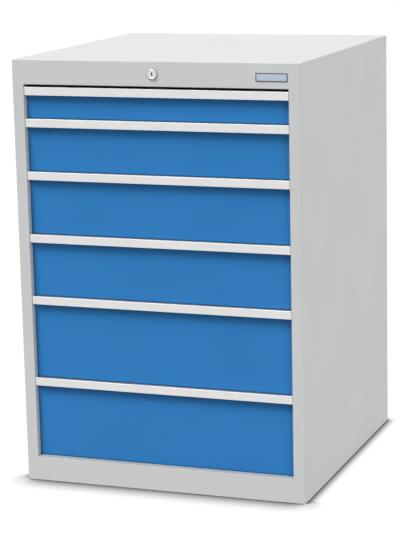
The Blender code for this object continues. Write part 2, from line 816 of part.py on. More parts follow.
def build():
    clear_scene()
    materials = finishes()
    paint = materials["housing_paint"]
    zinc = materials["zinc_steel"]
    nickel = materials["lock_nickel"]
    cabinet = anchor("cabinet")
    side_panel(-1, "side_panel_left", paint, cabinet)
    side_panel(1, "side_panel_right", paint, cabinet)
    top_panel(paint, cabinet)
    base_panel(paint, cabinet)
    back_panel(paint, cabinet)
    uprights(zinc, cabinet)
    nameplate(materials["plate_border"], cabinet)
    lock_barrel(nickel, cabinet)
    lock_nut(zinc, cabinet)
    turning = anchor("lock_turn", (0, 0, LOCK_HEIGHT))
    lock_plug(nickel, turning)
    lock_shaft(zinc, turning)
    shaft_bracket(zinc, cabinet)
    lock_bar(zinc, anchor("lock_slide"))
    for place, height in guide_heights().items():
        lock_guide(f"lock_guide_{place}", height, zinc, cabinet)
    drawers(materials)


build()
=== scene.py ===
"""The looks of an industrial drawer cabinet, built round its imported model.

Metres, +Z up. The front faces -Y, and the origin is on the floor under the housing's centre.
"""

import math

import bmesh
import bpy
from mathutils import Matrix, Vector


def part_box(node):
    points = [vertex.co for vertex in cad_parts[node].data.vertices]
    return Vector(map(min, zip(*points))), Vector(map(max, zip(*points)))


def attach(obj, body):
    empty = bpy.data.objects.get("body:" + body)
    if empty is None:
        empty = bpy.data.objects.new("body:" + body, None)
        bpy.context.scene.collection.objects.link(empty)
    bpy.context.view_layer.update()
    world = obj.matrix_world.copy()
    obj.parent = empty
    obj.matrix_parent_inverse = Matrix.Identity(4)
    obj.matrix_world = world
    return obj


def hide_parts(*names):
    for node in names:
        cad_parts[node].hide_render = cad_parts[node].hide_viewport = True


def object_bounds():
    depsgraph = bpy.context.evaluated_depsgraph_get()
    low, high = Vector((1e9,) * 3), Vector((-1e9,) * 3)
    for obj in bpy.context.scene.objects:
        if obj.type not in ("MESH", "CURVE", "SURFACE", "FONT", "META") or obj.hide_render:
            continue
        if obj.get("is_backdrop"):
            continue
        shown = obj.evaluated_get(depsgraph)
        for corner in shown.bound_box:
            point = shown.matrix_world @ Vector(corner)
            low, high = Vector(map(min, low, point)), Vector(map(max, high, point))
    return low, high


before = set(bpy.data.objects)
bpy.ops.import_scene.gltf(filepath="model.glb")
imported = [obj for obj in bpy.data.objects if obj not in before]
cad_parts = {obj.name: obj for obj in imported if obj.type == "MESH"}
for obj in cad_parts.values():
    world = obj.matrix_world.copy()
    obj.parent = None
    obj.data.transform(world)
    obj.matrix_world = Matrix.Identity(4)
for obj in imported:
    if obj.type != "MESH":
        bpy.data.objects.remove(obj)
SOLID_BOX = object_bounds()

# The photo's camera. Its focal length and shift are in pixels of a picture this high. Its angles are
# seen from the object: 0 is the front, and + is its right.
PICTURE_HEIGHT = 533
FOCAL_PIXELS = 1943.542
AXIS_PIXELS_RIGHT = 20
SENSOR = 36.0
CAMERA_PLACE = (1.6469, -4.4684, 1.4396)
CAMERA_AZIMUTH = math.radians(20.0037)
CAMERA_ELEVATION = math.radians(11.5064)
CAMERA_ROLL = math.radians(-1.1950)

# Lamps: azimuth, elevation and spread in degrees, then the light that a surface facing it gets,
# where 1 shows a colour as it is written.
LAMPS = {
    "key_lamp": (-40, 60, 24, 0.83),
    "high_lamp": (-30, 55, 24, 0.36),
    "side_lamp": (52, 30, 24, 0.37),
    "rear_lamp": (120, 8, 24, 0.39),
}

# These lamps aren't reflected, so that the top stays even when it is seen against them.
DIFFUSE_LAMPS = ("side_lamp", "rear_lamp")

# Light from all round: from the front, from the back, and from below. The front's turns into the
# back's between two values of a direction's Y.
AMBIENT_FRONT = 0.03
AMBIENT_BACK = 0.20
AMBIENT_TURN = (-0.3, 0.6)
AMBIENT_BELOW = 0.56

# The floor's width, how far it lies under the feet, its glow in the open, and its own grey
FLOOR_REACH = 40.0
FLOOR_DROP = 0.0002
FLOOR_GLOW = 0.97
FLOOR_SHADE = 0.07

# How far the contact shadow reaches before the front and beside the object, where along Y from the
# front one turns into the other, and the open shares between which it fades
SHADOW_BEFORE = 0.102
SHADOW_BESIDE = 0.030
SHADOW_TURN = (-0.02, 0.03)
SHADOW_SHARES = (0.50, 0.96)

# Finishes: colours as 8-bit values, where two are the dull and the clear patches, and the roughness.
# Plates have their share of metal before their roughness. The gloss is the paints' specular level.
PAINTS = {
    "grey": ((199, 201, 200), 0.44),
    "blue": ((48, 121, 185), 0.42),
    # A darker grey for the sill's ledge and the floor panel's top: painted shade, as under the drawer
    # fronts
    "painted_ledge_shade": ((150, 156, 162), 0.55),
}
ALUMINIUM = {
    "satin": ((214, 213, 212), (218, 217, 216), 0.40),
    # A brighter, smoother finish for the strips' foot: a painted highlight
    "painted_foot_highlight": ((238, 240, 243), (242, 244, 247), 0.26),
    # A darker finish for the strips' top: painted shade
    "painted_top_shade": ((178, 179, 180), (184, 185, 186), 0.48),
}
NICKEL = {
    "nickel_plate": ((205, 204, 200), (222, 222, 219), 0.46),
    # Dark nickel for the collar's flank: painted shade
    "painted_rim_shade": ((62, 61, 61), (74, 73, 72), 0.50),
}
PLATES = {
    "plate_border": ((96, 92, 89), 0.3, 0.45),
    "plate_field": ((174, 186, 204), 0.5, 0.38),
}
ZINC_TONES = ((158, 161, 166), (186, 188, 190))
ZINC_ROUGHNESS = (0.30, 0.46)
BORE_TONES = ((16, 15, 14), (34, 31, 27))
BORE_ROUGHNESS = (0.5, 0.7)
PAINT_GLOSS = 0.04

# How far the roughness of a finish goes to either side of its own
COAT_SPREAD = (-0.04, 0.05)
DRAWN_SPREAD = (-0.04, 0.04)
NICKEL_SPREAD = (-0.05, 0.05)
BRUSH_SPREAD = (-0.04, 0.06)

# Textures: scales are per metre, three of them where lines run one way. Tones are shares of the
# colour. Most of a noise lies in the noise range.
CLOUD_SCALE = 5.0
CLOUD_TONES = (0.985, 1.015)
GRAIN_SCALE = 1900.0
GRAIN_TONES = (0.975, 1.02)
PEEL_SCALE = 620.0
PEEL_DEPTH = 0.00002
DRAWN_LINES = (1.2, 900, 900)
DRAWN_DEPTH = 0.000012
HAZE_SCALE = 14.0
MOTTLE_SCALE = 90.0
ROLLED_LINES = (1500, 4, 1500)
ROLLED_DEPTH = 0.000008
RING_SCALE = 6000.0
RING_DEPTH = 0.000006
STAIN_SCALE = 300.0
BRUSHED_LINES = (6, 2500, 2500)
BRUSHED_DEPTH = 0.000006
BRUSHED_TONES = (0.94, 1.05)
OIL_SCALE = 900.0
NOISE_RANGE = (0.3, 0.7)

# The housing's sheet work
SHEET = 0.0015
BEND_RADIUS = 0.00155
FRAME_RETURN = 0.016
BACK_FLANGE = 0.025
FOOT_FLANGE = 0.020

# Drawer fronts
FRONT_SHEET = 0.0012
FRONT_BEND = 0.0018
FRONT_SIDE_FLANGE = 0.0325
FRONT_LEVEL_FLANGE = 0.019

# Grip strips, and the material slots of their foot, brightened as a painted highlight, and their top,
# darkened as painted shade
GRIP_WALL = 0.0018
GRIP_BEAD = 0.0012
GRIP_BEAD_HEIGHT = 0.0030
GRIP_EDGE = 0.0009
GRIP_SOFT_EDGE = 0.0004
PAINTED_FOOT_HIGHLIGHT_SLOT = 1
PAINTED_TOP_SHADE_SLOT = 2

# Drawer trays, their slotted walls and their runners
TRAY_SHEET = 0.0010
TRAY_BEND = 0.0015
HEM_FOLD = 0.0021
HEM_BEND = 0.0009
HEM_HEIGHT = 0.010
SLOT_PITCH = 0.025
SLOT_WIDTH = 0.0024
SLOT_LENGTH = 0.075
SLOT_FOOT = 0.009
SLOT_HEAD = 0.015
SLOT_BRIDGE = 0.012
RUNNER_DEPTH = 0.011
RUNNER_RISE = 0.018
RUNNER_HEIGHT = 0.0242
RUNNER_SHEET = 0.0015
RUNNER_BEND = 0.0012

# The lock. The keyhole's ends are rounded by a share of its half width.
COLLAR_EDGE = 0.0014
COLLAR_LAND = 0.0024
COLLAR_DISH = 0.0006
PLUG_RADIUS = 0.0070
PLUG_GAP = 0.0002
PLUG_EDGE = 0.0005
KEYHOLE_WIDTH = 0.0036
KEYHOLE_HEIGHT = 0.0090
KEYHOLE_ROUND = 0.98
KEYHOLE_DEPTH = 0.0080
THREAD_PITCH = 0.0010
THREAD_DEPTH = 0.0004
TURNED_STEPS = 96

# The nameplate
PLATE_CORNER = 0.0012
PLATE_BORDER = 0.0024
PLATE_THICKNESS = 0.0006
PLATE_RELIEF = 0.0002
PLATE_EDGE = 0.0002

# The edges of the pieces that keep their CAD shape
RAIL_EDGE = 0.0004
PANEL_EDGE = 0.0003
LOCK_EDGE = 0.0003

# How finely bends are divided, and what counts as one point, a sharp edge, a bend or a level face
BEND_STEPS = 4
EDGE_STEPS = 2
SAME_PLACE = 0.00001
SHARP_ANGLE = math.radians(40)
BENT_ANGLE = math.radians(60)
TOP_SHARE = 0.5

# Sockets of the Mix node, by place, because its numbers and colours share their names
MIX_NUMBERS = (2, 3)
MIXED_NUMBER = 0
MIX_COLOURS = (6, 7)
MIXED_COLOUR = 2

DRAWERS = range(1, 7)
SIDES = {"left": -1, "right": 1}


def linear(channel):
    """The linear value of an 8-bit colour channel."""
    share = channel / 255
    return share / 12.92 if share <= 0.04045 else ((share + 0.055) / 1.055) ** 2.4


def colour(channels, brightness=1.0):
    """A socket's colour, from 8-bit channels."""
    return (*(linear(channel) * brightness for channel in channels), 1.0)


# Materials

def feed(tree, target, value):
    """Gives a socket a number, a colour or another node's output."""
    if isinstance(value, bpy.types.NodeSocket):
        tree.links.new(value, target)
    else:
        target.default_value = value


def ranged(tree, value, start, end, low, high):
    """A socket's value, moved from one range to another."""
    node = tree.nodes.new("ShaderNodeMapRange")
    for name, number in (("From Min", start), ("From Max", end), ("To Min", low), ("To Max", high)):
        node.inputs[name].default_value = number
    tree.links.new(value, node.inputs["Value"])
    return node.outputs["Result"]


def mixed(tree, share, first, second):
    """A number between two others, by a share."""
    node = tree.nodes.new("ShaderNodeMix")
    tree.links.new(share, node.inputs["Factor"])
    for place, value in zip(MIX_NUMBERS, (first, second)):
        feed(tree, node.inputs[place], value)
    return node.outputs[MIXED_NUMBER]


class Graph:
    """A material's nodes."""

    def __init__(self, name):
        self.material = bpy.data.materials.new(name)
        self.material.use_nodes = True
        self.tree = self.material.node_tree
        self.shader = self.tree.nodes["Principled BSDF"]

    def add(self, kind, **settings):
        node = self.tree.nodes.new(kind)
        for name, value in settings.items():
            setattr(node, name, value)
        return node

    def link(self, output, target):
        self.tree.links.new(output, target)

    def place(self, stretch=(1, 1, 1)):
        """A point's place on its object, stretched for textures that run one way."""
        source = self.add("ShaderNodeTexCoord")
        mapping = self.add("ShaderNodeMapping")
        mapping.inputs["Scale"].default_value = stretch
        self.link(source.outputs["Object"], mapping.inputs["Vector"])
        return mapping.outputs["Vector"]

    def noise(self, place, scale, detail=2.0, roughness=0.5):
        node = self.add("ShaderNodeTexNoise")
        node.inputs["Scale"].default_value = scale
        node.inputs["Detail"].default_value = detail
        node.inputs["Roughness"].default_value = roughness
        self.link(place, node.inputs["Vector"])
        return node.outputs["Fac"]

    def spread(self, noise, low, high):
        """A number between two limits, by a noise."""
        return ranged(self.tree, noise, *NOISE_RANGE, low, high)

    def blend(self, noise, first, second):
        """A colour between two others, by a noise."""
        node = self.add("ShaderNodeMix", data_type="RGBA")
        for place, value in zip(MIX_COLOURS, (first, second)):
            node.inputs[place].default_value = value
        self.link(self.spread(noise, 0, 1), node.inputs["Factor"])
        return node.outputs[MIXED_COLOUR]

    def multiply(self, first, second):
        """The product of two colours."""
        node = self.add("ShaderNodeMix", data_type="RGBA", blend_type="MULTIPLY")
        node.inputs["Factor"].default_value = 1.0
        for place, value in zip(MIX_COLOURS, (first, second)):
            self.link(value, node.inputs[place])
        return node.outputs[MIXED_COLOUR]

    def bump(self, height, depth):
        """A surface raised by the height times the depth."""
        node = self.add("ShaderNodeBump")
        node.inputs["Strength"].default_value = 1.0
        node.inputs["Distance"].default_value = depth
        self.link(height, node.inputs["Height"])
        return node.outputs["Normal"]

    def set(self, name, value):
        feed(self.tree, self.shader.inputs[name], value)


def powder_coat(name, channels, roughness):
    """Baked powder paint: an even colour with a fine orange peel."""
    graph = Graph(name)
    place = graph.place()
    cloud = graph.noise(place, CLOUD_SCALE, detail=3.0)
    grain = graph.noise(place, GRAIN_SCALE, detail=1.0)
    peel = graph.noise(place, PEEL_SCALE)
    shade = graph.blend(cloud, *(colour(channels, tone) for tone in CLOUD_TONES))
    speck = graph.blend(grain, *((tone, tone, tone, 1) for tone in GRAIN_TONES))
    graph.set("Base Color", graph.multiply(shade, speck))
    graph.set("Roughness", graph.spread(peel, *(roughness + step for step in COAT_SPREAD)))
    graph.set("Specular IOR Level", PAINT_GLOSS)
    graph.set("Normal", graph.bump(peel, PEEL_DEPTH))
    return graph.material


def drawn_aluminium(name, dull, clear, roughness):
    """Anodised aluminium with the faint lines of its extrusion, along X."""
    graph = Graph(name)
    lines = graph.noise(graph.place(DRAWN_LINES), 1.0, detail=3.0)
    haze = graph.noise(graph.place(), HAZE_SCALE, detail=3.0)
    graph.set("Base Color", graph.blend(haze, colour(dull), colour(clear)))
    graph.set("Metallic", 1.0)
    graph.set("Roughness", graph.spread(lines, *(roughness + step for step in DRAWN_SPREAD)))
    graph.set("Normal", graph.bump(lines, DRAWN_DEPTH))
    return graph.material


def zinc_plate(name):
    """Bright zinc plating on rolled steel: mottled, with faint roll lines."""
    graph = Graph(name)
    mottle = graph.noise(graph.place(), MOTTLE_SCALE, detail=4.0, roughness=0.6)
    lines = graph.noise(graph.place(ROLLED_LINES), 1.0)
    graph.set("Base Color", graph.blend(mottle, *map(colour, ZINC_TONES)))
    graph.set("Metallic", 1.0)
    graph.set("Roughness", graph.spread(mottle, *ZINC_ROUGHNESS))
    graph.set("Normal", graph.bump(lines, ROLLED_DEPTH))
    return graph.material


def nickel_plate(name, dull, clear, roughness):
    """Nickel plating over a turned surface, with the faint rings that the tool left."""
    graph = Graph(name)
    place = graph.place()
    centred = graph.add("ShaderNodeVectorMath", operation="SUBTRACT")
    centred.inputs[1].default_value = (0, 0, LOCK_HEIGHT)
    graph.link(place, centred.inputs[0])
    flat = graph.add("ShaderNodeVectorMath", operation="MULTIPLY")
    flat.inputs[1].default_value = (1, 0, 1)
    graph.link(centred.outputs["Vector"], flat.inputs[0])
    away = graph.add("ShaderNodeVectorMath", operation="LENGTH")
    graph.link(flat.outputs["Vector"], away.inputs[0])
    rings = graph.add("ShaderNodeTexNoise", noise_dimensions="1D")
    rings.inputs["Scale"].default_value = RING_SCALE
    graph.link(away.outputs["Value"], rings.inputs["W"])
    stain = graph.noise(place, STAIN_SCALE, detail=3.0)
    graph.set("Base Color", graph.blend(stain, colour(dull), colour(clear)))
    graph.set("Metallic", 1.0)
    graph.set("Roughness", graph.spread(stain, *(roughness + step for step in NICKEL_SPREAD)))
    graph.set("Normal", graph.bump(rings.outputs["Fac"], RING_DEPTH))
    return graph.material


def printed_plate(name, channels, metallic, roughness):
    """A thin aluminium plate under a tinted lacquer, brushed along X."""
    graph = Graph(name)
    lines = graph.noise(graph.place(BRUSHED_LINES), 1.0)
    graph.set("Base Color", graph.blend(lines, *(colour(channels, tone) for tone in BRUSHED_TONES)))
    graph.set("Metallic", metallic)
    graph.set("Roughness", graph.spread(lines, *(roughness + step for step in BRUSH_SPREAD)))
    graph.set("Normal", graph.bump(lines, BRUSHED_DEPTH))
    return graph.material


def dark_bore(name):
    """The unlit inside of the keyhole, with a trace of oil."""
    graph = Graph(name)
    stain = graph.noise(graph.place(), OIL_SCALE)
    graph.set("Base Color", graph.blend(stain, *map(colour, BORE_TONES)))
    graph.set("Roughness", graph.spread(stain, *BORE_ROUGHNESS))
    return graph.material


# Meshes

def at(axis, level, first, second):
    """A point on the plane across an axis. First and second run along the other two, in their order."""
    places = {"x": (level, first, second), "y": (first, level, second), "z": (first, second, level)}
    return Vector(places[axis])


def steps_between(stops):
    """Each stop with the next one, counted from zero."""
    return list(enumerate(zip(stops, stops[1:])))


def join(solid, near, far):
    """Faces round a solid, between two of its loops."""
    for index in range(len(near)):
        solid.faces.new((near[index - 1], near[index], far[index], far[index - 1]))


class Skin:
    """The outer face of folded sheet, gathered from flat patches that share their corners."""

    def __init__(self):
        self.mesh = bmesh.new()
        self.corners = {}

    def corner(self, point):
        key = tuple(round(value / SAME_PLACE) for value in point)
        if key not in self.corners:
            self.corners[key] = self.mesh.verts.new(point)
        return self.corners[key]

    def face(self, points):
        return self.mesh.faces.new([self.corner(point) for point in points])

    def panel(self, axis, level, first_stops, second_stops, open_patches=()):
        """Patches across an axis, between stops along the other two. Open patches are left out."""
        for row, (low, high) in steps_between(first_stops):
            for column, (bottom, top) in steps_between(second_stops):
                if (row, column) in open_patches:
                    continue
                ring = ((low, bottom), (high, bottom), (high, top), (low, top))
                self.face([at(axis, level, *pair) for pair in ring])

    def slotted(self, axis, level, span, heights, slots):
        """An upright wall with rows of slots. The heights bound a plain band, a slotted row, and so on."""
        edges = [edge for slot in slots for edge in slot]
        cuts = [span[0], *edges, span[1]]
        for row, (bottom, top) in steps_between(heights):
            if row % 2:
                for low, high in zip(cuts[::2], cuts[1::2]):
                    ring = ((low, bottom), (high, bottom), (high, top), (low, top))
                    self.face([at(axis, level, *pair) for pair in ring])
                continue
            under = cuts if row > 0 else span
            over = cuts if row < len(heights) - 2 else span
            ring = [(place, bottom) for place in under] + [(place, top) for place in over[::-1]]
            self.face([at(axis, level, *pair) for pair in ring])

    def turn_out(self):
        """Turns all the faces the same way, so that the foremost one faces the front."""
        bmesh.ops.recalc_face_normals(self.mesh, faces=self.mesh.faces)
        foremost = min(self.mesh.faces, key=lambda face: face.calc_center_median().y)
        if foremost.normal.y > 0:
            bmesh.ops.reverse_faces(self.mesh, faces=self.mesh.faces)

    def weigh(self, share_of):
        """Marks the bends, each with the share of the full bend radius that it gets."""
        layer = self.mesh.edges.layers.float.new("bevel_weight_edge")
        for edge in self.mesh.edges:
            bent = len(edge.link_faces) == 2 and edge.calc_face_angle() > BENT_ANGLE
            edge[layer] = share_of(edge) if bent else 0.0


def mesh_from(name, gathered):
    mesh = bpy.data.meshes.new(name)
    gathered.to_mesh(mesh)
    gathered.free()
    return mesh


def new_thing(name, mesh, *materials):
    for material in materials:
        mesh.materials.append(material)
    thing = bpy.data.objects.new(name, mesh)
    bpy.context.scene.collection.objects.link(thing)
    return thing


def settle(thing):
    """Applies a thing's modifiers."""
    graph = bpy.context.evaluated_depsgraph_get()
    mesh = bpy.data.meshes.new_from_object(thing.evaluated_get(graph))
    thing.modifiers.clear()
    thing.data = mesh


def smooth(thing):
    """Smooth bends between flat faces that stay flat."""
    thing.data.shade_smooth()
    thing.data.set_sharp_from_angle(angle=SHARP_ANGLE)
    normals = thing.modifiers.new("flat_faces", "WEIGHTED_NORMAL")
    normals.keep_sharp = True


def bend(thing, radius, steps=BEND_STEPS, limit="WEIGHT"):
    """Rounds the weighted edges, or all the sharp ones."""
    modifier = thing.modifiers.new("bends", "BEVEL")
    modifier.limit_method = limit
    modifier.angle_limit = SHARP_ANGLE
    modifier.width = radius
    modifier.segments = steps


def sheet_thing(name, skin, thickness, radius, share_of, *materials):
    """Sheet metal with bent edges, from the skin of its outer face."""
    skin.turn_out()
    skin.weigh(share_of)
    thing = new_thing(name, mesh_from(name, skin.mesh), *materials)
    bend(thing, radius)
    wall = thing.modifiers.new("thickness", "SOLIDIFY")
    wall.thickness = thickness
    wall.offset = -1
    wall.use_even_offset = True
    settle(thing)
    smooth(thing)
    return thing


def rounded(outline, radii):
    """A closed outline with round corners. A radius of zero leaves its corner sharp."""
    corners = [Vector(point) for point in outline]
    points = []
    for index, (corner, radius) in enumerate(zip(corners, radii)):
        if not radius:
            points.append(tuple(corner))
            continue
        back = (corners[index - 1] - corner).normalized()
        ahead = (corners[(index + 1) % len(corners)] - corner).normalized()
        half = back.angle(ahead) / 2
        centre = corner + (back + ahead).normalized() * radius / math.sin(half)
        start = corner + back * radius / math.tan(half) - centre
        end = corner + ahead * radius / math.tan(half) - centre
        turn = start.angle(end)
        for step in range(BEND_STEPS + 1):
            share = step / BEND_STEPS
            arm = start * math.sin((1 - share) * turn) + end * math.sin(share * turn)
            points.append(tuple(centre + arm / math.sin(turn)))
    return points


def pulled(outline, axis, start, end):
    """A closed solid: an outline pulled along an axis."""
    solid = bmesh.new()
    near, far = (
        [solid.verts.new(at(axis, level, *point)) for point in outline] for level in (start, end)
    )
    solid.faces.new(near)
    solid.faces.new(far)
    join(solid, near, far)
    bmesh.ops.recalc_face_normals(solid, faces=solid.faces)
    return solid


def turned(profile, closed=False):
    """A solid of (radius, y) pairs turned about the lock's axis. A closed profile makes a ring."""
    solid = bmesh.new()
    turns = [math.tau * step / TURNED_STEPS for step in range(TURNED_STEPS)]
    loops = [
        [
            solid.verts.new((radius * math.sin(turn), depth, LOCK_HEIGHT + radius * math.cos(turn)))
            for turn in turns
        ]
        for radius, depth in profile
    ]
    pairs = list(zip(loops, loops[1:]))
    if closed:
        pairs.append((loops[-1], loops[0]))
    else:
        solid.faces.new(loops[0])
        solid.faces.new(loops[-1])
    for near, far in pairs:
        join(solid, near, far)
    bmesh.ops.recalc_face_normals(solid, faces=solid.faces)
    return solid


def put(thing, body, slot, *nodes):
    """Fixes a piece to its body, in the place of CAD nodes."""
    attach(thing, body)
    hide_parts(*nodes)


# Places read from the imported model
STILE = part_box("side_panel_right")
TOP_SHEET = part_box("top_panel")
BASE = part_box("base_panel")
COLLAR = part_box("lock_barrel")
FRONT = STILE[0].y
BACK = STILE[1].y
SIDE = STILE[1].x
OPENING_SIDE = STILE[0].x
HEIGHT = TOP_SHEET[1].z
OPENING_TOP = TOP_SHEET[0].z
SILL = BASE[1].z
BASE_REAR = BASE[1].y
LOCK_HEIGHT = (COLLAR[0].z + COLLAR[1].z) / 2


# Pieces

def housing(paint, painted_ledge_shade):
    """The welded and coated housing: stiles, rail, sill, side walls, top, floor and rear flanges.

    Patches count from the left and from the floor up, so the front's opening is at (2, 1).
    """
    rows = [0, SILL, OPENING_TOP, HEIGHT - BACK_FLANGE, HEIGHT]
    inner = [SIDE - BACK_FLANGE, OPENING_SIDE]
    columns = [-SIDE, *(-x for x in inner), *inner[::-1], SIDE]
    opening = (-OPENING_SIDE, OPENING_SIDE)
    frame_depth = (FRONT, FRONT + FRAME_RETURN)
    skin = Skin()
    skin.panel("y", FRONT, columns, rows, open_patches=[(2, 1)])
    for side in (-SIDE, SIDE):
        skin.panel("x", side, (FRONT, BACK), rows)
    skin.panel("z", HEIGHT, columns, (FRONT, BACK))
    between_flanges = [(column, row) for column in (1, 2, 3) for row in (0, 1, 2)]
    skin.panel("y", BACK, columns, rows, open_patches=between_flanges)
    for side in opening:
        skin.panel("x", side, frame_depth, (SILL, OPENING_TOP))
    skin.panel("z", OPENING_TOP, opening, frame_depth)
    skin.panel("z", SILL, opening, (*frame_depth, BASE_REAR))
    skin.panel("y", BASE_REAR, opening, (0, SILL))
    skin.panel("z", 0, opening, (FRONT, FRONT + FOOT_FLANGE))
    skin.panel("z", 0, opening, (BASE_REAR - FOOT_FLANGE, BASE_REAR))

    def share_of(edge):
        """Edges on the floor, and where the frame's sheets meet, stay sharp."""
        grounded = all(corner.co.z < SAME_PLACE for corner in edge.verts)
        first, last = (corner.co.y for corner in edge.verts)
        butted = SAME_PLACE < abs(first - last) < FRAME_RETURN + SAME_PLACE
        return 0.0 if grounded or butted else 1.0

    thing = sheet_thing("housing_shell", skin, SHEET, BEND_RADIUS, share_of, paint, painted_ledge_shade)
    # The sill's ledge and the floor panel's top get the darker grey, which is painted shade.
    for polygon in thing.data.polygons:
        on_floor = SILL - SHEET / 2 < polygon.center.z < SILL + SAME_PLACE
        polygon.material_index = int(on_floor and polygon.normal.z > TOP_SHARE)
    put(thing, "cabinet", "housing_paint", "side_panel_left", "side_panel_right", "top_panel", "base_panel")


def drawer_front(number, paint):
    """A folded pan with soft edges."""
    low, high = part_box(f"drawer_{number}_front")
    columns = [low.x, low.x + FRONT_SIDE_FLANGE, high.x - FRONT_SIDE_FLANGE, high.x]
    rows = [low.z, low.z + FRONT_LEVEL_FLANGE, high.z - FRONT_LEVEL_FLANGE, high.z]
    depth = (low.y, high.y)
    skin = Skin()
    skin.panel("y", low.y, columns, rows)
    skin.panel("y", high.y, columns, rows, open_patches=[(1, 1)])
    for side in (low.x, high.x):
        skin.panel("x", side, depth, rows)
    for level in (low.z, high.z):
        skin.panel("z", level, columns, depth)
    name = f"drawer_{number}_front_panel"
    thing = sheet_thing(name, skin, FRONT_SHEET, FRONT_BEND, lambda edge: 1.0, paint)
    put(thing, f"drawer_{number}", "front_paint", f"drawer_{number}_front")


def grip(number, aluminium, painted_foot_highlight, painted_top_shade):
    """The drawn profile over a front's top edge, with a bead behind its foot.

    Its lower edge is brightened as a painted highlight, and its top is darkened as painted shade.
    """
    low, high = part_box(f"drawer_{number}_grip")
    face, rear = low.y, high.y
    inside = face + GRIP_WALL
    foot, top = low.z, high.z
    bead = foot + GRIP_BEAD_HEIGHT
    corners = [
        (face, foot, GRIP_EDGE),
        (inside + GRIP_BEAD, foot, GRIP_EDGE),
        (inside + GRIP_BEAD, bead, GRIP_SOFT_EDGE),
        (inside, bead + GRIP_BEAD, GRIP_SOFT_EDGE),
        (inside, top - GRIP_WALL, GRIP_SOFT_EDGE),
        (rear, top - GRIP_WALL, GRIP_SOFT_EDGE),
        (rear, top, GRIP_EDGE),
        (face, top, GRIP_EDGE),
    ]
    outline = rounded([(y, z) for y, z, radius in corners], [radius for y, z, radius in corners])
    name = f"drawer_{number}_grip_strip"
    thing = new_thing(name, mesh_from(name, pulled(outline, "x", low.x, high.x)), aluminium, painted_foot_highlight, painted_top_shade)
    for polygon in thing.data.polygons:
        at_foot = polygon.center.z < foot + GRIP_EDGE and polygon.center.y < inside
        at_top = polygon.center.z > top - GRIP_EDGE and polygon.normal.z > TOP_SHARE
        # The top is darkened as painted shade, and the front of the foot brightened as a painted highlight.
        if at_top:
            polygon.material_index = PAINTED_TOP_SHADE_SLOT
        elif at_foot and polygon.normal.y < -SAME_PLACE:
            polygon.material_index = PAINTED_FOOT_HIGHLIGHT_SLOT
    smooth(thing)
    put(thing, f"drawer_{number}", "grip_aluminium", f"drawer_{number}_grip")


def slot_heights(floor, rim):
    """The heights that bound the plain bands and the slotted rows of a tray's wall."""
    foot, head = floor + SLOT_FOOT, rim - SLOT_HEAD
    rows = max(1, round((head - foot) / SLOT_LENGTH))
    length = (head - foot - (rows - 1) * SLOT_BRIDGE) / rows
    heights = [floor]
    for row in range(rows):
        bottom = foot + row * (length + SLOT_BRIDGE)
        heights += [bottom, bottom + length]
    return heights + [rim]


def slot_places(low, high):
    """Where each slot of a wall starts and ends: one for each step, evenly about the wall's middle."""
    count = int((high - low - SLOT_PITCH) / SLOT_PITCH) + 1
    first = (low + high - (count - 1) * SLOT_PITCH) / 2
    middles = [first + index * SLOT_PITCH for index in range(count)]
    return [(middle - SLOT_WIDTH / 2, middle + SLOT_WIDTH / 2) for middle in middles]


def hem(skin, outer, rim):
    """The fold over a tray's rim and down inside it."""
    inner = [(x - math.copysign(HEM_FOLD, x), y - math.copysign(HEM_FOLD, y)) for x, y in outer]
    foot = rim - HEM_HEIGHT
    for index in range(len(outer)):
        edge = [outer[index - 1], outer[index]]
        fold = [inner[index], inner[index - 1]]
        over = [(*place, rim) for place in edge + fold]
        down = [(*place, rim) for place in fold[::-1]] + [(*place, foot) for place in fold]
        skin.face([Vector(point) for point in over])
        skin.face([Vector(point) for point in down])


def tray(number, paint):
    """A drawer's tray: slotted walls with a hemmed rim."""
    low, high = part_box(f"drawer_{number}_box")
    side = high.x - RUNNER_DEPTH
    floor, rim = low.z, high.z
    ends = (low.y, high.y)
    sides = (-side, side)
    heights = slot_heights(floor, rim)
    skin = Skin()
    skin.panel("z", floor, sides, ends)
    for end in ends:
        skin.slotted("y", end, sides, heights, slot_places(*sides))
    for wall in sides:
        skin.slotted("x", wall, ends, heights, slot_places(*ends))
    hem(skin, [(-side, low.y), (side, low.y), (side, high.y), (-side, high.y)], rim)

    def share_of(edge):
        """The hem's bends are tighter than the tray's."""
        at_rim = all(corner.co.z > rim - SAME_PLACE for corner in edge.verts)
        in_hem = all(abs(corner.co.x) < side - HEM_FOLD / 2 for corner in edge.verts)
        return HEM_BEND / TRAY_BEND if at_rim or in_hem else 1.0

    thing = sheet_thing(f"drawer_{number}_tray", skin, TRAY_SHEET, TRAY_BEND, share_of, paint)
    put(thing, f"drawer_{number}", "housing_paint", f"drawer_{number}_box")


def runners(number, zinc):
    """The channels on a tray's sides, which run in the middle rails."""
    low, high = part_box(f"drawer_{number}_box")
    middle = low.z + RUNNER_RISE
    bottom, top = middle - RUNNER_HEIGHT / 2, middle + RUNNER_HEIGHT / 2
    web, foot = high.x - RUNNER_DEPTH, high.x
    corners = [
        (foot, bottom, 0),
        (web, bottom, RUNNER_BEND + RUNNER_SHEET / 2),
        (web, top, RUNNER_BEND + RUNNER_SHEET / 2),
        (foot, top, 0),
        (foot, top - RUNNER_SHEET, 0),
        (web + RUNNER_SHEET, top - RUNNER_SHEET, RUNNER_BEND / 2),
        (web + RUNNER_SHEET, bottom + RUNNER_SHEET, RUNNER_BEND / 2),
        (foot, bottom + RUNNER_SHEET, 0),
    ]
    outline = rounded([(x, z) for x, z, radius in corners], [radius for x, z, radius in corners])
    for side, sign in SIDES.items():
        name = f"drawer_{number}_runner_{side}"
        channel = pulled([(sign * x, z) for x, z in outline], "y", low.y, high.y)
        thing = new_thing(name, mesh_from(name, channel), zinc)
        smooth(thing)
        put(thing, f"drawer_{number}", "zinc_steel", f"drawer_{number}_box")


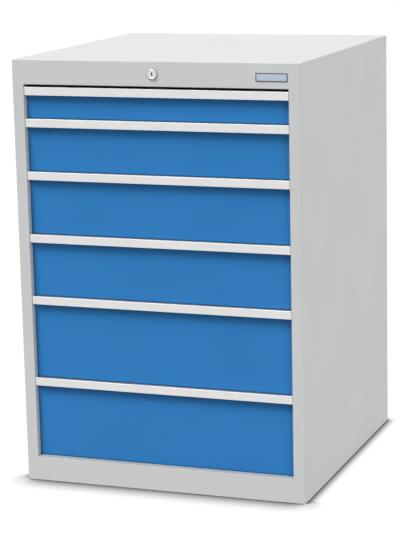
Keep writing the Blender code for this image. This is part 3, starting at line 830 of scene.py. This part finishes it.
def arc(centre, radius, start, end):
    """(radius, y) points on an arc of a turned profile, from one angle to another, in degrees."""
    stops = range(BEND_STEPS + 1)
    turns = [math.radians(start + (end - start) * stop / BEND_STEPS) for stop in stops]
    return [(centre[0] + radius * math.cos(turn), centre[1] + radius * math.sin(turn)) for turn in turns]


def lock_collar(nickel, dull):
    """The lock's collar on the rail, dished towards the plug and dark round its rim as painted shade, and
    its barrel.
    """
    low, high = COLLAR
    radius = (high.x - low.x) / 2
    face = low.y
    bore = PLUG_RADIUS + PLUG_GAP
    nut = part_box("lock_nut")[0]
    thread = radius - COLLAR_LAND - PLUG_GAP
    profile = [
        (bore, face + COLLAR_DISH + PLUG_GAP),
        (bore + PLUG_GAP, face + COLLAR_DISH),
        (radius - COLLAR_LAND, face + COLLAR_DISH),
        *arc((radius - COLLAR_LAND + COLLAR_DISH, face + COLLAR_DISH), COLLAR_DISH, 180, 270),
        *arc((radius - COLLAR_EDGE, face + COLLAR_EDGE), COLLAR_EDGE, 270, 360),
        (radius, FRONT),
        (thread, FRONT),
    ]
    depth = nut.y
    while depth < high.y - THREAD_PITCH:
        profile += [(thread, depth), (thread - THREAD_DEPTH, depth + THREAD_PITCH / 2)]
        depth += THREAD_PITCH
    profile += [(thread, high.y), (bore, high.y)]
    thing = new_thing("lock_collar", mesh_from("lock_collar", turned(profile, closed=True)), nickel, dull)
    for polygon in thing.data.polygons:
        # The collar's flank gets the dark nickel, which is painted shade.
        polygon.material_index = int(face + COLLAR_EDGE < polygon.center.y < FRONT)
    smooth(thing)
    put(thing, "cabinet", "lock_nickel", "lock_barrel")


def cut_keyhole(thing, half, reach, face):
    """Cuts a slot with round ends, of half a width and half a height, into the plug's face."""
    corners = [(-half, -reach), (half, -reach), (half, reach), (-half, reach)]
    ends = rounded(corners, [half * KEYHOLE_ROUND] * len(corners))
    outline = [(x, LOCK_HEIGHT + z) for x, z in ends]
    cutter = pulled(outline, "y", face - KEYHOLE_DEPTH, face + KEYHOLE_DEPTH)
    helper = new_thing("keyhole_cutter", mesh_from("keyhole_cutter", cutter))
    cut = thing.modifiers.new("keyhole", "BOOLEAN")
    cut.operation = "DIFFERENCE"
    cut.solver = "EXACT"
    cut.object = helper
    settle(thing)
    bpy.data.objects.remove(helper)


def lock_core(nickel, dark):
    """The plug with its keyhole."""
    low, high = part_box("lock_plug")
    face = low.y
    profile = [
        (PLUG_RADIUS, high.y),
        (PLUG_RADIUS, face + PLUG_EDGE),
        *arc((PLUG_RADIUS - PLUG_EDGE, face + PLUG_EDGE), PLUG_EDGE, 0, -90)[1:],
    ]
    thing = new_thing("lock_core", mesh_from("lock_core", turned(profile)), nickel, dark)
    half, reach = KEYHOLE_WIDTH / 2, KEYHOLE_HEIGHT / 2
    cut_keyhole(thing, half, reach, face)
    for polygon in thing.data.polygons:
        offset = polygon.center - Vector((0, 0, LOCK_HEIGHT))
        inside = abs(offset.x) < half + SAME_PLACE and abs(offset.z) < reach + SAME_PLACE
        polygon.material_index = int(inside and polygon.center.y > face + SAME_PLACE)
    smooth(thing)
    put(thing, "lock_turn", "lock_nickel", "lock_plug")


def nameplate(edge_finish, field_finish):
    """A bare plate: a dark raised border round a pale sunk field."""
    low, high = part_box("nameplate")
    face = high.y - PLATE_THICKNESS

    def ring(inset, level, radius):
        corners = [
            (low.x + inset, low.z + inset),
            (high.x - inset, low.z + inset),
            (high.x - inset, high.z - inset),
            (low.x + inset, high.z - inset),
        ]
        return [at("y", level, *point) for point in rounded(corners, [radius] * len(corners))]

    rings = [
        ring(0, high.y, PLATE_CORNER),
        ring(0, face + PLATE_EDGE, PLATE_CORNER),
        ring(PLATE_EDGE, face, PLATE_CORNER - PLATE_EDGE),
        ring(PLATE_BORDER, face, PLATE_EDGE),
        ring(PLATE_BORDER, face + PLATE_RELIEF, PLATE_EDGE),
    ]
    solid = bmesh.new()
    loops = [[solid.verts.new(point) for point in points] for points in rings]
    solid.faces.new(loops[0])
    field = solid.faces.new(loops[-1])
    field.material_index = 1
    for near, far in zip(loops, loops[1:]):
        join(solid, near, far)
    bmesh.ops.recalc_face_normals(solid, faces=solid.faces)
    thing = new_thing("nameplate_bare", mesh_from("nameplate_bare", solid), edge_finish, field_finish)
    smooth(thing)
    put(thing, "cabinet", "plate_border", "nameplate")


def dress(node, material, edge=0.0):
    """Gives a CAD node its finish, and rounds its edges."""
    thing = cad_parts[node]
    thing.data.materials.clear()
    thing.data.materials.append(material)
    weld = thing.modifiers.new("weld", "WELD")
    weld.merge_threshold = SAME_PLACE
    if edge:
        bend(thing, edge, EDGE_STEPS, "ANGLE")
    normals = thing.modifiers.new("flat_faces", "WEIGHTED_NORMAL")
    normals.keep_sharp = True


# The stage

def direction(azimuth, elevation):
    """The way from the object towards a lamp or the camera."""
    level = math.cos(elevation)
    return Vector((math.sin(azimuth) * level, -math.cos(azimuth) * level, math.sin(elevation)))


def camera():
    data = bpy.data.cameras.new("camera")
    data.sensor_width = SENSOR
    data.lens = FOCAL_PIXELS * SENSOR / PICTURE_HEIGHT
    data.shift_x = -AXIS_PIXELS_RIGHT / PICTURE_HEIGHT
    thing = bpy.data.objects.new("camera", data)
    back = direction(CAMERA_AZIMUTH, CAMERA_ELEVATION)
    level = Vector((0, 0, 1)).cross(back).normalized()
    upright = back.cross(level)
    right = math.cos(CAMERA_ROLL) * level + math.sin(CAMERA_ROLL) * upright
    above = math.cos(CAMERA_ROLL) * upright - math.sin(CAMERA_ROLL) * level
    turn = Matrix((right, above, back)).transposed().to_4x4()
    thing.matrix_world = Matrix.Translation(CAMERA_PLACE) @ turn
    bpy.context.scene.collection.objects.link(thing)
    bpy.context.scene.camera = thing


def lamp(name, azimuth, elevation, spread, light):
    data = bpy.data.lights.new(name, "SUN")
    data.energy = light * math.pi
    data.angle = math.radians(spread)
    thing = bpy.data.objects.new(name, data)
    towards = direction(math.radians(azimuth), math.radians(elevation))
    thing.rotation_euler = towards.to_track_quat("Z", "Y").to_euler()
    thing.visible_glossy = name not in DIFFUSE_LAMPS
    bpy.context.scene.collection.objects.link(thing)


def seen_directly(tree):
    """1 for what the camera, gloss or glass shows, and 0 for what only lights the object."""
    path = tree.nodes.new("ShaderNodeLightPath")
    total = path.outputs["Is Camera Ray"]
    for name in ("Is Glossy Ray", "Is Transmission Ray"):
        larger = tree.nodes.new("ShaderNodeMath")
        larger.operation = "MAXIMUM"
        tree.links.new(total, larger.inputs[0])
        tree.links.new(path.outputs[name], larger.inputs[1])
        total = larger.outputs["Value"]
    return total


def ambient_light(tree):
    """Light from all round. It is strongest from below, where it stands for a pale floor."""
    where = tree.nodes.new("ShaderNodeTexCoord")
    parts = tree.nodes.new("ShaderNodeSeparateXYZ")
    tree.links.new(where.outputs["Generated"], parts.inputs["Vector"])
    level = ranged(tree, parts.outputs["Y"], *AMBIENT_TURN, AMBIENT_FRONT, AMBIENT_BACK)
    above = tree.nodes.new("ShaderNodeMath")
    above.operation = "GREATER_THAN"
    above.inputs[1].default_value = 0.0
    tree.links.new(parts.outputs["Z"], above.inputs[0])
    return mixed(tree, above.outputs["Value"], AMBIENT_BELOW, level)


def surroundings():
    """White where they are seen, and the ambient light where they only light the object."""
    world = bpy.data.worlds.new("surroundings")
    bpy.context.scene.world = world
    world.use_nodes = True
    tree = world.node_tree
    background = tree.nodes["Background"]
    background.inputs["Color"].default_value = (1, 1, 1, 1)
    strength = mixed(tree, seen_directly(tree), ambient_light(tree), 1.0)
    tree.links.new(strength, background.inputs["Strength"])


def open_glow(tree):
    """A glow that is full in the open and fades close to what stands on the floor."""
    where = tree.nodes.new("ShaderNodeTexCoord")
    parts = tree.nodes.new("ShaderNodeSeparateXYZ")
    tree.links.new(where.outputs["Object"], parts.inputs["Vector"])
    turn = [FRONT + place for place in SHADOW_TURN]
    reach = ranged(tree, parts.outputs["Y"], *turn, SHADOW_BEFORE, SHADOW_BESIDE)
    near = tree.nodes.new("ShaderNodeAmbientOcclusion")
    tree.links.new(reach, near.inputs["Distance"])
    return ranged(tree, near.outputs["AO"], *SHADOW_SHARES, 0.0, FLOOR_GLOW)


def floor_finish():
    """Pale floor that turns white in the open and dark close to what stands on it."""
    material = bpy.data.materials.new("floor")
    material.use_nodes = True
    tree = material.node_tree
    tree.nodes.clear()
    output = tree.nodes.new("ShaderNodeOutputMaterial")
    shade = tree.nodes.new("ShaderNodeBsdfDiffuse")
    shade.inputs["Color"].default_value = (FLOOR_SHADE, FLOOR_SHADE, FLOOR_SHADE, 1)
    glow = tree.nodes.new("ShaderNodeEmission")
    tree.links.new(open_glow(tree), glow.inputs["Strength"])
    shown = tree.nodes.new("ShaderNodeAddShader")
    tree.links.new(glow.outputs["Emission"], shown.inputs[0])
    tree.links.new(shade.outputs["BSDF"], shown.inputs[1])
    tree.links.new(shown.outputs["Shader"], output.inputs["Surface"])
    return material


def floor():
    sheet = bmesh.new()
    bmesh.ops.create_grid(sheet, x_segments=1, y_segments=1, size=FLOOR_REACH / 2)
    thing = new_thing("floor", mesh_from("floor", sheet), floor_finish())
    thing.location.z = -FLOOR_DROP
    thing.visible_diffuse = False
    thing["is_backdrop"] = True


def drawers(paints, metals, zinc):
    """The fronts, grips and trays, and the rails that carry them."""
    for number in DRAWERS:
        drawer_front(number, paints["blue"])
        grip(number, metals["satin"], metals["painted_foot_highlight"], metals["painted_top_shade"])
        tray(number, paints["grey"])
        runners(number, zinc)
        for side in SIDES:
            dress(f"drawer_{number}_middle_rail_{side}", zinc, RAIL_EDGE)
            dress(f"drawer_{number}_case_rail_{side}", zinc, RAIL_EDGE)


def lock(zinc):
    """The lock's visible end, and the parts behind the rail."""
    nickel = {name: nickel_plate(name, *finish) for name, finish in NICKEL.items()}
    lock_collar(nickel["nickel_plate"], nickel["painted_rim_shade"])
    lock_core(nickel["nickel_plate"], dark_bore("keyhole_bore"))
    for node in ("lock_nut", "lock_shaft", "lock_shaft_bracket", "lock_bar"):
        dress(node, zinc, LOCK_EDGE)
    for place in ("upper", "lower"):
        dress(f"lock_guide_{place}", zinc, LOCK_EDGE)


def stage():
    """The camera, lamps, surroundings and floor."""
    camera()
    for name, settings in LAMPS.items():
        lamp(name, *settings)
    surroundings()
    floor()
    bpy.context.scene.view_settings.view_transform = "Standard"


def build():
    paints = {name: powder_coat(f"{name}_powder_coat", *finish) for name, finish in PAINTS.items()}
    metals = {name: drawn_aluminium(f"{name}_aluminium", *finish) for name, finish in ALUMINIUM.items()}
    plates = [printed_plate(name, *finish) for name, finish in PLATES.items()]
    zinc = zinc_plate("zinc_plate")
    housing(paints["grey"], paints["painted_ledge_shade"])
    drawers(paints, metals, zinc)
    lock(zinc)
    nameplate(*plates)
    dress("back_panel", paints["grey"], PANEL_EDGE)
    for place in ("front", "rear"):
        for side in SIDES:
            dress(f"upright_{place}_{side}", zinc)
    stage()


def write_sizes():
    """The CAD model's box and the visual model's, as plain lists of numbers."""
    boxes = {"solids": SOLID_BOX, "shown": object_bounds()}
    plain = {name: [[float(value) for value in corner] for corner in box] for name, box in boxes.items()}


build()
write_sizes()
